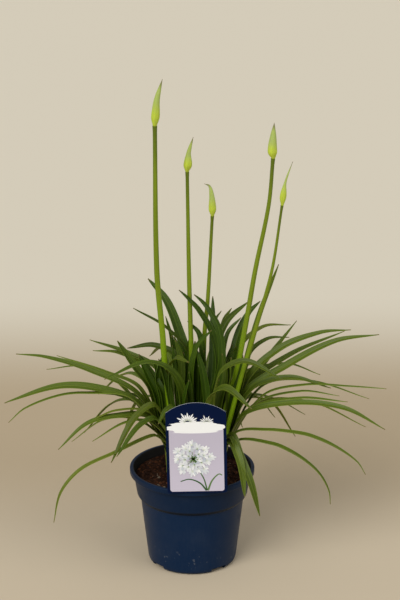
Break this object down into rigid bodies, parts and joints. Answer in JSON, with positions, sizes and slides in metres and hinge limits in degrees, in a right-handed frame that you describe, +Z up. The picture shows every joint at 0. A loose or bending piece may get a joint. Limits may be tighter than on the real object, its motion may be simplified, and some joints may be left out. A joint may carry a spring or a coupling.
{
  "type": "potted agapanthus",
  "caption": "Clump of narrow strap leaves with slender upright flower stems and closed pointed buds, in a round tapered nursery pot with a plant label hooked over its rim.",
  "frame": {"origin": "on the pot's axis, in the middle of the flat disc under its floor, which stands on the ground together with the foot ring", "axes": "+Z up; the front, with the label, faces -Y; +X to the right as seen from the front"},
  "size_m": [0.502, 0.32, 0.6781],
  "materials": {
    "pot": "satin navy blue thin moulded plastic",
    "soil": "lumpy dark brown peat",
    "label": "printed plastic card, navy edge with a white band and a pale lilac panel",
    "leaf": "mid green living leaf, satin, with a paler midrib",
    "stem": "yellow green living stem, satin, darker at the top",
    "bud": "pale lime green spathe, satin, brown at the tip"
  },
  "bodies": {
    "root": {"pot": "pot", "soil": "soil", "label": "label", "shoot_left": "leaf", "shoot_back_left": "leaf", "shoot_middle": "leaf", "shoot_back_right": "leaf", "shoot_right": "leaf", "shoot_front_left": "leaf", "shoot_front_right": "leaf", "stem_1": "stem", "stem_2": "stem", "stem_3": "stem", "stem_4": "stem", "stem_5": "stem", "bud_1": "bud", "bud_2": "bud", "bud_3": "bud", "bud_4": "bud", "bud_5": "bud"}
  },
  "joints": []
}
